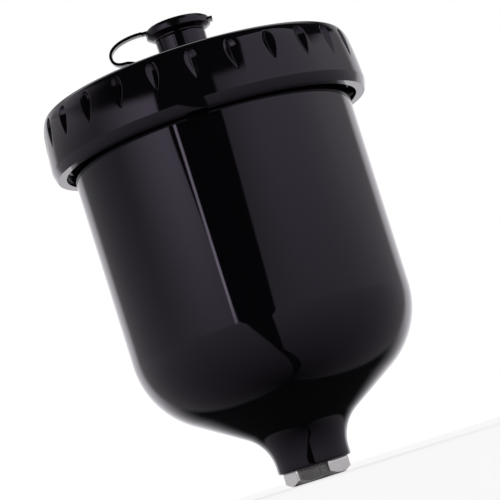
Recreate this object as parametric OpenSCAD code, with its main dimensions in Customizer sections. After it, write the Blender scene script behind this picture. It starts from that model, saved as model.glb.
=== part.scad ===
// Gravity-feed paint cup with a screw lid, for a spray gun.
// The cup stands on its hexagonal outlet nut. The origin is the centre of the
// nut's seat face, +Z runs up the axis of the cup, and every length is in
// millimetres. The strap of the vent cap lies towards -X.

/* [Cup] */
// Outer diameter of the cup at its rim
cup_mouth_d = 98.2; // [80:0.2:120]
// Height of the rim above the nut's seat face
cup_h = 138.5; // [120:0.5:180]
// Thickness of the cup's wall
cup_wall = 2.5; // [1.8:0.1:3.2]
// Draft of the straight wall, in degrees
cup_draft = 0.38; // [0:0.02:1]
// Outer radius of the shoulder
shoulder_r = 30; // [22:1:34]
// Slope of the funnel from the axis, in degrees
funnel_angle = 58; // [48:1:62]

/* [Neck and outlet nut] */
// Outer diameter of the neck
neck_d = 25.4; // [24.4:0.2:30]
// Straight height of the neck above the nut
neck_straight = 2.6; // [1:0.2:8]
// Radius of the sweep from the neck into the funnel
neck_sweep_r = 14; // [8:1:18]
// Radius of the neck's bottom edge
neck_edge_r = 0.8; // [0.2:0.1:1.2]
// Height of the nut's hexagon
nut_h = 5; // [4:0.5:9]
// Size of the hexagon across its flats
nut_af = 20; // [19:0.5:22]
// Angle of the hexagon about the axis, in degrees
nut_turn = -6.5; // [-30:0.5:30]
// Diameter of the chamfered seat face
nut_seat_d = 19.2; // [17:0.1:19.8]
// Height of the chamfer at a corner of the hexagon
nut_chamfer_h = 1.6; // [0.5:0.1:3]
// Wall diameter of the outlet's threaded hole
outlet_d = 14.4; // [12:0.1:15]
// Length of the threaded hole, up to the washer
outlet_len = 8.2; // [6:0.1:9]
// Diameter of the moulded-in stem above the hexagon
stem_d = 19; // [18:0.1:20]
// Height of the stem above the hexagon
stem_h = 8; // [7:0.5:9]
// Depth of the groove that locks the stem in the neck
stem_groove = 0.8; // [0.4:0.1:1]
// Height of the washer's groove at the end of the thread
washer_t = 1.2; // [0.8:0.1:1.6]
// Diameter of the paint passage above the washer
passage_d = 10.4; // [8:0.1:11]

/* [Strainer] */
// Height of the strainer above the nut's stem
strainer_h = 23; // [16:1:30]
// Diameter of the strainer's base ring
strainer_base_d = 16; // [14.6:0.1:16.6]
// Height of the base ring
strainer_ring_h = 2.5; // [2:0.1:3.5]
// Diameter of the cap that closes the strainer's top
strainer_top_d = 9.6; // [8:0.2:12]
// Thickness of that cap
strainer_top_t = 1.6; // [1:0.1:2.5]
// Width of each rib
rib_w = 1.2; // [0.8:0.1:2]
// Number of ribs
rib_n = 4; // [3:1:6]
// Thickness of the mesh sleeve
mesh_t = 0.3; // [0.2:0.05:0.4]

/* [Screw thread of the mouth] */
// Rise of the lid in one full turn
thread_lead = 10; // [8:0.5:12]
// Number of thread starts
thread_starts = 2; // [1:1:2]
// Height of a thread ridge
thread_depth = 1.5; // [1:0.1:1.8]
// Width of a ridge at its foot
thread_foot_w = 2.6; // [2:0.1:2.8]
// Width of a ridge at its crest
thread_crest_w = 1.4; // [0.8:0.1:1.6]
// Angle that each ridge runs round the mouth, in degrees
thread_sweep = 400; // [300:10:420]
// Gap between the crest of a ridge and the wall that it faces
thread_gap = 0.7; // [0.4:0.1:1.2]

/* [Lid] */
// Thickness of the lid's skirt at its widest
lid_wall = 4.5; // [4:0.1:6]
// Thickness of the lid's top
lid_top_t = 3; // [2:0.1:4]
// Height of the lid from the skirt's end to the top edge
lid_h = 21.8; // [20:0.1:28]
// Height of the crease above the skirt's end
lid_crease_h = 3.3; // [2.5:0.1:6]
// How much the side draws in between crease and top
lid_flare = 1.1; // [0.4:0.1:2]
// Height of the rounded top edge
lid_edge_h = 5.7; // [4:0.1:7]
// Width of the rounded top edge
lid_edge_w = 3.4; // [2:0.1:5]
// Width of the raised rim inside the rounded edge
lid_rim_w = 2; // [1:0.1:4]
// Depth of the step inside the rim
lid_step = 1; // [0.4:0.1:1.8]
// Rise of the lid's crown from the step to the foot of the boss
crown_rise = 7.2; // [5:0.1:9]
// Number of finger notches
notch_n = 26; // [12:1:28]
// Height of a notch
notch_h = 10.3; // [7:0.1:11]
// Width of a notch at its widest
notch_w = 4.2; // [3:0.1:6]
// Depth of a notch
notch_depth = 1.5; // [0.8:0.1:2]
// Distance from the lid's top edge down to a notch
notch_drop = 2.4; // [1.5:0.1:4]
// Angle of the notch nearest the front, from -Y towards +X, in degrees
notch_turn = 1.3; // [-7.5:0.1:7.5]

/* [Gasket] */
// Thickness of the gasket
gasket_t = 1.6; // [1:0.1:2.5]
// How far the gasket reaches in past the wall of the cup
gasket_lip = 0.6; // [0.2:0.1:2]

/* [Vent boss] */
// Outer diameter of the boss at its mouth
boss_d = 17.6; // [16:0.2:22]
// How much narrower the boss is at its foot
boss_taper = 0.3; // [0:0.1:0.8]
// Height of the boss above its collar
boss_h = 6.7; // [5:0.1:8]
// Height of the collar above the crown
collar_h = 2.5; // [2:0.1:4]
// How far the collar stands out past the boss
collar_w = 1.8; // [1.2:0.1:3]
// Diameter of the vent bore
vent_d = 11.2; // [9:0.1:12]

/* [Drip check] */
// Thickness of the drip check's plug
drip_plug_t = 2.6; // [2:0.1:4]
// How far its flange reaches past the bore
drip_flange_w = 2; // [1:0.1:3]
// Thickness of the flange
drip_flange_t = 1.4; // [1:0.1:2]
// Diameter of its vent hole
drip_hole_d = 2.4; // [1.5:0.1:3]
// Distance of the vent hole from the axis
drip_hole_off = 2.8; // [2:0.1:3.5]

/* [Vent cap] */
// Diameter of the cap's disc
cap_d = 22.6; // [20:0.2:28]
// Height of the disc's edge
cap_edge_h = 3.1; // [2.6:0.1:4]
// Height of the bevel under the edge
cap_bevel_h = 1.1; // [0.6:0.1:2]
// Width of that bevel
cap_bevel_w = 1.8; // [1:0.1:2.2]
// Height of the hub that stands on the boss
cap_hub_h = 0.7; // [0.5:0.1:3]
// Crown of the disc's top
cap_crown = 0.5; // [0:0.1:1.2]
// Length of the plug inside the boss
plug_len = 3.8; // [3:0.1:4]
// Thickness of the plug's wall
plug_wall = 1.4; // [1:0.1:2]
// Clearance of the plug in the bore
plug_gap = 0.3; // [0.2:0.05:0.4]
// Length of the pull tab past the disc
tab_len = 1.2; // [0.8:0.1:5]
// Width of the pull tab
tab_w = 6; // [3:0.5:9]
// Thickness of the pull tab
tab_t = 0.8; // [0.6:0.1:1]

/* [Strap and ring] */
// Width of the strap
strap_w = 3.6; // [2.5:0.1:5]
// Thickness of the strap
strap_t = 1; // [0.7:0.1:1.2]
// Distance from the axis to the middle of the strap's bend
strap_reach = 24.95; // [22:0.05:30]
// Thickness of the ring round the boss
ring_t = 1.1; // [0.9:0.1:1.6]
// Width of the ring
ring_w = 2.2; // [1.6:0.1:3]
// Gap between the ring and the boss
ring_gap = 0.3; // [0.2:0.05:0.5]
// Length of the lugs that the strap grows from
lug_len = 1.4; // [1:0.1:2]

/* [Hidden] */

round_fn = 96;
arc_step = 4;
curve_n = 8;
black = [0.05, 0.045, 0.055];
eps = 0.01;
// How far a cutter reaches past the face that it cuts
over = 1;

// Cup
mouth_r = cup_mouth_d / 2;
neck_r = neck_d / 2;
neck_top_z = nut_h + neck_straight;
sweep_end_z = neck_top_z + neck_sweep_r * sin(funnel_angle);
sweep_end_r = neck_r + neck_sweep_r * (1 - cos(funnel_angle));
// The shoulder starts where the drafted wall meets it. The draft is small, so
// the wall's radius there is taken at the height that an undrafted wall gives.
rough_shoulder_z = sweep_end_z
    + (mouth_r - shoulder_r * (1 - cos(funnel_angle)) - sweep_end_r) / tan(funnel_angle)
    + shoulder_r * sin(funnel_angle);
wall_foot_r = mouth_r - (cup_h - rough_shoulder_z) * tan(cup_draft);
shoulder_end_r = wall_foot_r - shoulder_r * (1 - cos(funnel_angle));
shoulder_end_z = sweep_end_z + (shoulder_end_r - sweep_end_r) / tan(funnel_angle);
shoulder_z = shoulder_end_z + shoulder_r * sin(funnel_angle);
rim_round = cup_wall / 3;

// Outlet nut and what sits on it
stem_r = stem_d / 2;
stem_top_z = nut_h + stem_h;
washer_gap = 0.1;
washer_groove = 0.4;
washer_seat_r = outlet_d / 2 + washer_groove;
stem_root = 0.5;
stem_groove_share = 0.3;
strainer_gap = 0.2;
seat_bore_r = strainer_base_d / 2 + strainer_gap;
inner_sweep_r = 4;
sleeve_foot_w = 1.2;
rib_sink = 0.5;
rib_gap = 0.05;

// Lid
lid_seat_z = cup_h + gasket_t;
lid_top_z = lid_seat_z + lid_top_t;
lid_bottom_z = lid_top_z - lid_h;
lid_crease_z = lid_bottom_z + lid_crease_h;
lid_in_r = mouth_r + thread_depth + thread_gap;
lid_out_r = lid_in_r + lid_wall;
lid_top_r = lid_out_r - lid_flare;
lid_edge_z = lid_top_z - lid_edge_h;
lid_lip = 0.3;
lid_lip_h = 1;
lid_round_w = 1.2;
step_r = lid_top_r - lid_edge_w - lid_rim_w;
step_w = 0.8;
gasket_in_r = mouth_r - cup_wall - gasket_lip;
gasket_gap = 0.4;
gasket_out_r = lid_in_r - gasket_gap;
gasket_seat_w = 0.8;

// Curves of the lid's outline: how far their control points lie from its corners
crease_in = 0.1;
undercut_low = [0.9, 0.35];
undercut_high = [0.35, 1.6];
side_pull = 0.35;
// Lean of the side at the crease and at the foot of the rounded edge, in degrees
side_lean = [2, 7];
edge_pull = [0.53, 0.4];
crown_flat_w = 1;
crown_pull = [0.38, 0.22];
crown_lift = 0.17;
crown_drop = 0.5;
under_drop = 0.2;

// Finger notches
notch_steps = 10;
notch_out = 1.5;
// Powers by which a notch widens from its foot and closes at its round top
notch_grow = 1.1;
notch_close = 0.5;
notch_peak = notch_grow / (notch_grow + notch_close);
notch_full = pow(notch_peak, notch_grow) * pow(1 - notch_peak, notch_close);
// The tips of a notch's cutter stay this far outside the lid's side
notch_tip = 0.1;

// Vent boss
boss_r = boss_d / 2;
boss_foot_r = boss_r - boss_taper / 2;
collar_r = boss_r + collar_w;
collar_fillet = 1.8;
crown_foot_r = collar_r + collar_fillet;
crown_z = lid_top_z - lid_step + crown_rise;
collar_z = crown_z + collar_h;
boss_top_z = collar_z + boss_h;
vent_r = vent_d / 2;
vent_thicker = 0.6;
vent_low_z = crown_z - lid_top_t - vent_thicker;

// Vent cap
hub_over = 0.1;
hub_r = boss_r + hub_over;
cap_r = cap_d / 2;
cap_under_z = boss_top_z + cap_hub_h;
cap_edge_z = cap_under_z + cap_bevel_h;
cap_top_z = cap_edge_z + cap_edge_h;
plug_r = vent_r - plug_gap;
plug_low_z = boss_top_z - plug_len;
plug_chamfer = [0.4, 0.8];
cap_round = 0.5;
crown_shares = [0.6, 0.3];
tab_foot = 1;
lug_root = 1;

// Strap
ring_in_r = boss_r + ring_gap;
ring_out_r = ring_in_r + ring_w;
strap_low_z = collar_z + ring_t / 2;
strap_high_z = cap_top_z - strap_t / 2;
// The strap climbs from the ring to its lower run, and then bends over
strap_climb = 2.6;
climb_pull = [3, 2.5, 0.2];
strap_run_z = strap_low_z + strap_climb;
strap_bend_drop = 0.9;
strap_bend_z = (strap_run_z + strap_high_z) / 2 - strap_bend_drop;
// Where the bend starts on the lower run, and its control points, from the bend
bend_from = [4.4, -0.1];
bend_low = [1.3, -0.15];
bend_pull = [2, 4];
bend_high = [7, 0.3];
bend_n = 12;
low_lug_x = ring_out_r + lug_len;
high_lug_x = cap_r + lug_len;

// Screw thread
thread_pitch = thread_lead / thread_starts;
thread_sink = 0.7;
thread_rise = thread_lead * thread_sweep / 360;
thread_drop = 1.6;
thread_low_z = cup_h - thread_rise - thread_foot_w / 2 - thread_drop;
thread_wall_r = mouth_r - thread_rise * tan(cup_draft);
lid_thread_from = -60;
thread_step = 6;
thread_runout = 18;

// Points on an arc about [x, y], from angle a0 to angle a1
function arc(x, y, r, a0, a1) =
    let (n = max(2, ceil(abs(a1 - a0) / arc_step)))
    [for (i = [0 : n]) let (a = a0 + (a1 - a0) * i / n) [x + r * cos(a), y + r * sin(a)]];

// Points on a cubic curve with four control points
function curve(p0, p1, p2, p3, n = curve_n) =
    [for (i = [0 : n])
        let (t = i / n, u = 1 - t)
        u * u * u * p0 + 3 * u * u * t * p1 + 3 * u * t * t * p2 + t * t * t * p3];

// Outline of the cup's outside, from the neck's bottom edge to the rim
function cup_outside() = concat(
    arc(neck_r - neck_edge_r, nut_h + neck_edge_r, neck_edge_r, -90, 0),
    arc(neck_r + neck_sweep_r, neck_top_z, neck_sweep_r, 180, 180 - funnel_angle),
    arc(wall_foot_r - shoulder_r, shoulder_z, shoulder_r, -funnel_angle, 0),
    arc(mouth_r - rim_round, cup_h - rim_round, rim_round, 0, 90));

// Outline of the cup's inside, from the rim down to the strainer's seat
inner_shoulder_r = shoulder_r - cup_wall;
inner_end_r = wall_foot_r - shoulder_r + inner_shoulder_r * cos(funnel_angle);
inner_end_z = shoulder_z - inner_shoulder_r * sin(funnel_angle);
inner_sweep_end_r = seat_bore_r + inner_sweep_r * (1 - cos(funnel_angle));
inner_sweep_z = inner_end_z - (inner_end_r - inner_sweep_end_r) / tan(funnel_angle)
    - inner_sweep_r * sin(funnel_angle);
function cup_inside() = concat(
    arc(mouth_r - cup_wall + rim_round, cup_h - rim_round, rim_round, 90, 180),
    arc(wall_foot_r - shoulder_r, shoulder_z, inner_shoulder_r, 0, -funnel_angle),
    arc(seat_bore_r + inner_sweep_r, inner_sweep_z, inner_sweep_r,
        180 - funnel_angle, 180));

// A thread ridge on the inside or the outside of a wall. Its helix passes
// height z at angle 0, and it runs from angle a0 to angle a1. The ridge fades
// out at both ends.
module thread_ridge(wall_r, crest_r, z, a0, a1) {
    n = ceil((a1 - a0) / thread_step);
    side = crest_r > wall_r ? 1 : -1;
    rings = [for (i = [0 : n])
        let (a = a0 + (a1 - a0) * i / n,
             end = min(1, min(a - a0, a1 - a) / thread_runout),
             hidden_r = wall_r - side * thread_sink / 2,
             top_r = hidden_r + (crest_r - hidden_r) * end,
             foot_r = wall_r - side * thread_sink,
             slope = (thread_foot_w - thread_crest_w) / 2 / abs(crest_r - wall_r),
             top_w = thread_crest_w / 2,
             foot_w = top_w + slope * abs(crest_r - wall_r) + slope * thread_sink,
             h = z + thread_lead * a / 360)
        [for (p = [[foot_r, -foot_w], [top_r, -top_w], [top_r, top_w], [foot_r, foot_w]])
            [p[0] * cos(a), p[0] * sin(a), h + p[1]]]];
    points = [for (ring = rings) each ring];
    quads = [for (i = [0 : n - 1], k = [0 : 3])
        let (m = (k + 1) % 4)
        [4 * i + k, 4 * i + m, 4 * i + 4 + m, 4 * i + 4 + k]];
    walls = [for (q = quads) each [[q[0], q[1], q[2]], [q[0], q[2], q[3]]]];
    ends = [[3, 2, 1], [3, 1, 0], [4 * n, 4 * n + 1, 4 * n + 2], [4 * n, 4 * n + 2, 4 * n + 3]];
    faces = concat(walls, ends);
    polyhedron(points = points,
        faces = side > 0 ? faces : [for (f = faces) [f[2], f[1], f[0]]]);
}

module cup_body() {
    color(black)
    difference() {
        union() {
            rotate_extrude($fn = round_fn)
                polygon(concat([[0, nut_h]], cup_outside(), cup_inside(),
                    [[seat_bore_r, stem_top_z - over], [0, stem_top_z - over]]));
            for (s = [0 : thread_starts - 1])
                rotate([0, 0, s * 360 / thread_starts])
                    thread_ridge(thread_wall_r, mouth_r + thread_depth, thread_low_z,
                        0, thread_sweep);
        }
        nut_stem();
    }
}

// The nut's stem, which the neck is moulded round
module nut_stem() {
    groove_low = nut_h + stem_h * (1 - stem_groove_share) / 2;
    groove_high = nut_h + stem_h * (1 + stem_groove_share) / 2;
    rotate_extrude($fn = round_fn)
        polygon([[0, nut_h - stem_root], [stem_r, nut_h - stem_root], [stem_r, groove_low],
            [stem_r - stem_groove, groove_low], [stem_r - stem_groove, groove_high],
            [stem_r, groove_high], [stem_r, stem_top_z], [0, stem_top_z]]);
}

module outlet_nut() {
    corner_r = nut_af / 2 / cos(30);
    color("silver")
    difference() {
        union() {
            intersection() {
                rotate([0, 0, nut_turn])
                    cylinder(r = corner_r, h = nut_h, $fn = 6);
                cylinder(r1 = nut_seat_d / 2,
                    r2 = nut_seat_d / 2 + (corner_r - nut_seat_d / 2) * nut_h / nut_chamfer_h,
                    h = nut_h, $fn = round_fn);
            }
            nut_stem();
        }
        translate([0, 0, -over])
            cylinder(r = outlet_d / 2, h = outlet_len + washer_t / 2 + over, $fn = round_fn);
        translate([0, 0, outlet_len])
            cylinder(r = washer_seat_r, h = washer_t, $fn = round_fn);
        cylinder(r = passage_d / 2, h = stem_top_z + over, $fn = round_fn);
    }
}

module outlet_washer() {
    color("ivory")
    translate([0, 0, outlet_len + washer_gap])
    difference() {
        cylinder(r = washer_seat_r - washer_gap, h = washer_t - washer_gap, $fn = round_fn);
        translate([0, 0, -over])
            cylinder(r = passage_d / 2, h = washer_t + 2 * over, $fn = round_fn);
    }
}

// Radius of the strainer's sleeve at a height above its base
function sleeve_r(h) =
    let (low_r = passage_d / 2 + sleeve_foot_w, top_r = strainer_top_d / 2)
    low_r + (top_r - low_r) * (h - strainer_ring_h)
        / (strainer_h - strainer_top_t - strainer_ring_h);

module strainer_frame() {
    base_r = strainer_base_d / 2;
    foot_h = strainer_ring_h - rib_sink;
    top_h = strainer_h - strainer_top_t;
    color("whitesmoke")
    translate([0, 0, stem_top_z]) {
        difference() {
            cylinder(r = base_r, h = strainer_ring_h, $fn = round_fn);
            translate([0, 0, -over])
                cylinder(r = passage_d / 2, h = strainer_ring_h + 2 * over, $fn = round_fn);
        }
        translate([0, 0, top_h])
            cylinder(r = sleeve_r(top_h) + rib_w, h = strainer_top_t, $fn = round_fn);
        for (i = [0 : rib_n - 1])
            rotate([0, 0, i * 360 / rib_n])
                rotate([90, 0, 0])
                    linear_extrude(height = rib_w, center = true)
                        polygon([[sleeve_r(foot_h) + rib_gap, foot_h],
                            [sleeve_r(foot_h) + rib_w, foot_h],
                            [sleeve_r(top_h) + rib_w, top_h + rib_sink],
                            [sleeve_r(top_h) + rib_gap, top_h + rib_sink]]);
    }
}

module strainer_mesh() {
    top_h = strainer_h - strainer_top_t;
    color("lightgrey")
    translate([0, 0, stem_top_z])
        rotate_extrude($fn = round_fn)
            polygon([[sleeve_r(strainer_ring_h) - mesh_t, strainer_ring_h],
                [sleeve_r(strainer_ring_h), strainer_ring_h],
                [sleeve_r(top_h), top_h], [sleeve_r(top_h) - mesh_t, top_h]]);
}

module lid_gasket() {
    color("dimgray")
    translate([0, 0, cup_h])
    difference() {
        cylinder(r = gasket_out_r, h = gasket_t, $fn = round_fn);
        translate([0, 0, -over])
            cylinder(r = gasket_in_r, h = gasket_t + 2 * over, $fn = round_fn);
    }
}

// Outline of the lid's side, from the skirt's end to the top of the rim
crease = [lid_out_r - crease_in, lid_crease_z];
side_h = lid_edge_z - lid_crease_z;
function lid_side() = concat(
    curve([lid_out_r - lid_round_w, lid_bottom_z],
        [lid_out_r - undercut_low[0], lid_bottom_z + undercut_low[1]],
        [lid_out_r - undercut_high[0], lid_crease_z - undercut_high[1]],
        crease),
    curve(crease,
        [crease[0] - side_h * side_pull * tan(side_lean[0]),
            lid_crease_z + side_h * side_pull],
        [lid_top_r + side_h * side_pull * tan(side_lean[1]),
            lid_edge_z - side_h * side_pull],
        [lid_top_r, lid_edge_z]),
    curve([lid_top_r, lid_edge_z],
        [lid_top_r - lid_edge_h * edge_pull[0] * tan(side_lean[1]),
            lid_edge_z + lid_edge_h * edge_pull[0]],
        [lid_top_r - lid_edge_w * edge_pull[1], lid_top_z],
        [lid_top_r - lid_edge_w, lid_top_z]));

// Outline of the lid's top, from the rim in to the foot of the boss
step_z = lid_top_z - lid_step;
crown_span = step_r - crown_foot_r;
function lid_top() = concat(
    curve([step_r + step_w, lid_top_z], [step_r + step_w / 2, lid_top_z],
        [step_r + step_w / 2, step_z], [step_r, step_z], 4),
    curve([step_r - crown_flat_w, step_z],
        [step_r - crown_span * crown_pull[0], step_z + crown_rise * crown_lift],
        [crown_foot_r + crown_span * crown_pull[1], crown_z - crown_drop],
        [crown_foot_r, crown_z]),
    curve([crown_foot_r, crown_z],
        [collar_r + collar_fillet / 3, crown_z + collar_fillet / 6],
        [collar_r, crown_z + collar_fillet / 2],
        [collar_r, crown_z + collar_fillet], 5));

// Outline of the lid's underside, from the bore out to the gasket's seat
function lid_under() = concat(
    [[vent_r + drip_flange_w + over, vent_low_z]],
    curve([crown_foot_r, vent_low_z],
        [crown_foot_r + crown_span * crown_pull[1], vent_low_z - under_drop],
        [step_r - crown_span * crown_pull[0],
            lid_seat_z + (vent_low_z - lid_seat_z) * crown_lift],
        [gasket_in_r - gasket_seat_w, lid_seat_z]));

// Radius of the lid's side at a height
side_table = [for (p = lid_side()) [p[1], p[0]]];
function side_r(z) = lookup(z, side_table);

// Cutter of one finger notch, towards +X: a valley with two slopes, whose depth
// follows a leaf's outline
module notch_cutter() {
    n = notch_steps;
    slope = notch_w / 2 / notch_depth;
    low_z = lid_top_z - notch_drop - notch_h;
    rings = [for (i = [0 : n])
        let (s = (1 - cos(180 * i / n)) / 2,
             leaf = pow(s, notch_grow) * pow(1 - s, notch_close) / notch_full,
             d = i % n == 0 ? -notch_tip : notch_depth * leaf,
             z = low_z + notch_h * s,
             r = side_r(z),
             w = slope * (d + notch_out))
        [[r - d, 0, z], [r + notch_out, w, z], [r + notch_out, -w, z]]];
    points = [for (ring = rings) each ring];
    walls = [for (i = [0 : n - 1], k = [0 : 2])
        let (m = (k + 1) % 3, a = 3 * i + k, b = 3 * i + m)
        each [[a, b, b + 3], [a, b + 3, a + 3]]];
    ends = [[2, 1, 0], [3 * n, 3 * n + 1, 3 * n + 2]];
    polyhedron(points = points, faces = concat(walls, ends));
}

module lid_shell() {
    color(black)
    difference() {
        union() {
            rotate_extrude($fn = round_fn)
                polygon(concat(
                    [[lid_in_r + lid_lip, lid_bottom_z]],
                    lid_side(),
                    lid_top(),
                    [[collar_r, collar_z], [boss_foot_r, collar_z], [boss_r, boss_top_z],
                        [vent_r, boss_top_z], [vent_r, vent_low_z]],
                    lid_under(),
                    [[lid_in_r, lid_seat_z], [lid_in_r, lid_bottom_z + lid_lip_h]]));
            for (s = [0 : thread_starts - 1])
                rotate([0, 0, (s + 0.5) * 360 / thread_starts])
                    thread_ridge(lid_in_r, mouth_r + thread_gap, thread_low_z,
                        lid_thread_from, thread_sweep + 2 * lid_thread_from);
        }
        for (i = [0 : notch_n - 1])
            rotate([0, 0, notch_turn - 90 + i * 360 / notch_n])
                notch_cutter();
    }
}

module drip_check() {
    color("gray")
    difference() {
        union() {
            translate([0, 0, vent_low_z - eps])
                cylinder(r = vent_r, h = drip_plug_t + eps, $fn = round_fn);
            translate([0, 0, vent_low_z - drip_flange_t])
                cylinder(r = vent_r + drip_flange_w, h = drip_flange_t, $fn = round_fn);
        }
        translate([drip_hole_off, 0, vent_low_z - drip_flange_t - over])
            cylinder(r = drip_hole_d / 2, h = drip_flange_t + drip_plug_t + 2 * over,
                $fn = round_fn / 3);
    }
}

module strap_ring() {
    color(black)
    translate([0, 0, collar_z])
    difference() {
        union() {
            cylinder(r = ring_out_r, h = ring_t, $fn = round_fn);
            translate([-low_lug_x, -strap_w / 2, 0])
                cube([lug_len + lug_root, strap_w, ring_t]);
        }
        translate([0, 0, -over])
            cylinder(r = ring_in_r, h = ring_t + 2 * over, $fn = round_fn);
    }
}

// Middle line of the strap, from the ring's lug round the bend to the cap's lug
function strap_line() = let (r = strap_reach, z = strap_bend_z) concat(
    [for (i = [0 : bend_n - 1]) curve([-low_lug_x, strap_low_z],
        [-low_lug_x - climb_pull[0], strap_low_z],
        [bend_from[0] - r + climb_pull[1], strap_run_z + bend_from[1] - climb_pull[2]],
        [bend_from[0] - r, strap_run_z + bend_from[1]], bend_n)[i]],
    curve([bend_from[0] - r, strap_run_z + bend_from[1]],
        [bend_low[0] - r, strap_run_z + bend_low[1]],
        [-r, z - bend_pull[0]], [-r, z]),
    [for (i = [1 : bend_n]) curve([-r, z], [-r, z + bend_pull[1]],
        [bend_high[0] - r, strap_high_z + bend_high[1]],
        [-high_lug_x, strap_high_z], bend_n)[i]]);

// Direction of a line at one of its points
function heading(line, i) =
    let (a = line[max(i - 1, 0)], b = line[min(i + 1, len(line) - 1)], d = b - a)
    i == 0 || i == len(line) - 1 ? [sign(d[0]), 0] : d / norm(d);

module cap_strap() {
    line = strap_line();
    half = strap_t / 2;
    near = [for (i = [0 : len(line) - 1])
        let (h = heading(line, i)) line[i] + half * [h[1], -h[0]]];
    far = [for (i = [len(line) - 1 : -1 : 0])
        let (h = heading(line, i)) line[i] - half * [h[1], -h[0]]];
    color(black)
    rotate([90, 0, 0])
        linear_extrude(height = strap_w, center = true)
            polygon(concat(near, far));
}

module vent_cap() {
    color(black)
    difference() {
        union() {
            rotate_extrude($fn = round_fn)
                polygon(concat(
                    [[0, plug_low_z], [plug_r - plug_chamfer[0], plug_low_z],
                        [plug_r, plug_low_z + plug_chamfer[1]],
                        [plug_r, boss_top_z], [hub_r, boss_top_z], [hub_r, cap_under_z],
                        [cap_r - cap_bevel_w, cap_under_z], [cap_r, cap_edge_z]],
                    arc(cap_r - cap_round, cap_top_z - cap_round, cap_round, 0, 90),
                    curve([cap_r - 2 * cap_round, cap_top_z],
                        [cap_r * crown_shares[0], cap_top_z + cap_crown],
                        [cap_r * crown_shares[1], cap_top_z + cap_crown],
                        [0, cap_top_z + cap_crown])));
            translate([-high_lug_x, -strap_w / 2, cap_top_z - strap_t])
                cube([lug_len + lug_root, strap_w, strap_t]);
            translate([0, -tab_w / 2, cap_edge_z + tab_foot])
                cube([cap_r + tab_len, tab_w, tab_t]);
        }
        translate([0, 0, plug_low_z - over])
            cylinder(r = plug_r - plug_wall, h = plug_len + over, $fn = round_fn);
    }
}

cup_body();
outlet_nut();
outlet_washer();
strainer_frame();
strainer_mesh();
lid_gasket();
lid_shell();
drip_check();
strap_ring();
cap_strap();
vent_cap();
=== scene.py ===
"""Dresses the packed paint cup and sets it in a pale studio.

The cup stands on its outlet nut, with the nut's seat face at the origin and the
cup's axis along +Z. The vent cap's strap lies towards -X, and the photograph
looks along +Y from just above the floor, with the camera rolled.
"""

import math
from functools import partialmethod

import bpy
from mathutils import Matrix, Vector


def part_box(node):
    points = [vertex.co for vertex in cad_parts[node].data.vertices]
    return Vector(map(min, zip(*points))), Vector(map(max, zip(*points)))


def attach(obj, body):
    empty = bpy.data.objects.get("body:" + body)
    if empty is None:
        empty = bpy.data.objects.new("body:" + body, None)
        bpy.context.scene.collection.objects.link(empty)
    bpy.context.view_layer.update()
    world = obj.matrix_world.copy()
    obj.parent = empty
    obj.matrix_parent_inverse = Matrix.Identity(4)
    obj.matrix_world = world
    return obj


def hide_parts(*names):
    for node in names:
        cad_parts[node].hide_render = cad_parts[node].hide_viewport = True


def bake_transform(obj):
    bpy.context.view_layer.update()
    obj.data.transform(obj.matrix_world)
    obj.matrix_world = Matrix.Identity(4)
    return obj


bl_info = {
    "name": "Paint Cup with Screw Lid",
    "version": (1, 0, 0),
    "blender": (4, 5, 0),
    "location": "View3D > Sidebar > Paint Cup",
    "description": "Dresses a spray gun's paint cup over its CAD frame",
    "category": "Object",
}

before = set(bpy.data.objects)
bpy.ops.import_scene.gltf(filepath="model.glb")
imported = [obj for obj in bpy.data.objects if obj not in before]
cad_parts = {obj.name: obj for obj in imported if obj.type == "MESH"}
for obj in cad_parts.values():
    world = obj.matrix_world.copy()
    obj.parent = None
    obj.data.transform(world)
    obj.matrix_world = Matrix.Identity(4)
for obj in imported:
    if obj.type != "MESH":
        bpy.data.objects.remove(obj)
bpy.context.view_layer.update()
MM = 0.001
FULL = 2 * math.pi
# Points closer than this become one where an outline's turn closes
JOIN_REACH = 1e-6
# Space between an outline's points where it carries a screw thread
THREAD_STEP = 0.24 * MM
# Edges sharper than this stay sharp on the soft pieces, in degrees
SOFT_CREASE = 40.0
# How much sooner the lid's ridges end than the cup's
LID_RIDGE_SHORT = math.radians(120)

RIM_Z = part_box("cup_body")[1].z
BOSS_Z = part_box("strap_ring")[0].z
GASKET_INNER = 46 * MM


# Sizes and colours


def length(name, text, millimetres):
    return bpy.props.FloatProperty(
        name=name, description=text, default=millimetres * MM, min=0.0, precision=5,
        subtype="DISTANCE", unit="LENGTH")


def turn(name, text, degrees):
    return bpy.props.FloatProperty(
        name=name, description=text, default=math.radians(degrees),
        subtype="ANGLE", unit="ROTATION")


def share(name, text, value, most=1.0):
    return bpy.props.FloatProperty(
        name=name, description=text, default=value, min=0.0, max=most)


def count(name, text, value, least=3):
    return bpy.props.IntProperty(name=name, description=text, default=value, min=least)


def colour(name, text, value):
    return bpy.props.FloatVectorProperty(
        name=name, description=text, default=value, size=3, min=0.0, max=1.0,
        subtype="COLOR")


class PaintCupBody(bpy.types.PropertyGroup):
    """The cup and the thread round its mouth."""

    mouth: length("Mouth radius", "Outer radius of the cup at its rim", 49.1)
    rim: length("Rim height", "Height of the rim above the nut's seat face", RIM_Z / MM)
    wall: length("Wall", "Thickness of the cup's wall", 2.5)
    draft: turn("Draft", "How much the straight wall leans out", 0.38)
    shoulder: length("Shoulder", "Outer radius of the shoulder", 30)
    funnel: turn("Funnel", "Slope of the funnel from the axis", 58)
    neck: length("Neck radius", "Outer radius of the neck", 12.7)
    neck_straight: length("Neck height", "Straight height of the neck", 2.6)
    sweep: length("Sweep", "Radius of the sweep from neck to funnel", 14)
    edge: length("Neck edge", "Radius of the neck's bottom edge", 0.8)
    inner_sweep: length("Inner sweep", "Radius at the foot of the inside", 4)
    seat: length("Strainer seat", "Radius of the strainer's seat", 8.2)
    columns: count("Columns", "Faces round the cup", 288)


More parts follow.
